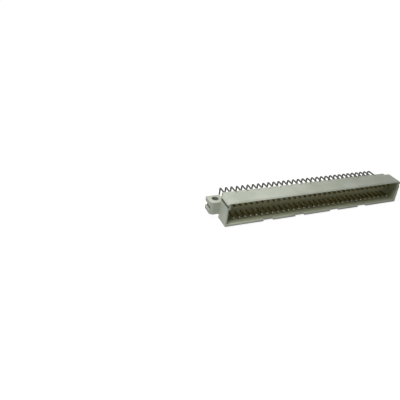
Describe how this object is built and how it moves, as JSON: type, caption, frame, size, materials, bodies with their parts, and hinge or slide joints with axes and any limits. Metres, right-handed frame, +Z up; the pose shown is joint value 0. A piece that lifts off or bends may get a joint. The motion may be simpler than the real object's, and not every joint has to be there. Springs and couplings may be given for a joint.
{
  "type": "backplane connector",
  "caption": "Right-angle board connector plug with an open keyed shroud, two long rows of pin contacts bent down to solder tails, and a mounting ear with a screw hole at each end.",
  "frame": {"origin": "under the middle of the whole part, level with the ends of the solder tails", "axes": "+X along the connector, -Y out of the mating face, +Z up from the board that the tails are soldered into"},
  "size_m": [0.095, 0.0176, 0.012],
  "materials": {
    "housing": "pebble-grey glass-filled polyester moulding, satin with a fine grain",
    "contacts": "square copper-alloy wire, gold plated where it mates and dull tinned on the tails"
  },
  "bodies": {
    "root": {"housing": "housing", "row_a_contact_01": "contacts", "row_a_contact_02": "contacts", "row_a_contact_03": "contacts", "row_a_contact_04": "contacts", "row_a_contact_05": "contacts", "row_a_contact_06": "contacts", "row_a_contact_07": "contacts", "row_a_contact_08": "contacts", "row_a_contact_09": "contacts", "row_a_contact_10": "contacts", "row_a_contact_11": "contacts", "row_a_contact_12": "contacts", "row_a_contact_13": "contacts", "row_a_contact_14": "contacts", "row_a_contact_15": "contacts", "row_a_contact_16": "contacts", "row_a_contact_17": "contacts", "row_a_contact_18": "contacts", "row_a_contact_19": "contacts", "row_a_contact_20": "contacts", "row_a_contact_21": "contacts", "row_a_contact_22": "contacts", "row_a_contact_23": "contacts", "row_a_contact_24": "contacts", "row_a_contact_25": "contacts", "row_a_contact_26": "contacts", "row_a_contact_27": "contacts", "row_a_contact_28": "contacts", "row_a_contact_29": "contacts", "row_a_contact_30": "contacts", "row_a_contact_31": "contacts", "row_a_contact_32": "contacts"}
  },
  "joints": []
}
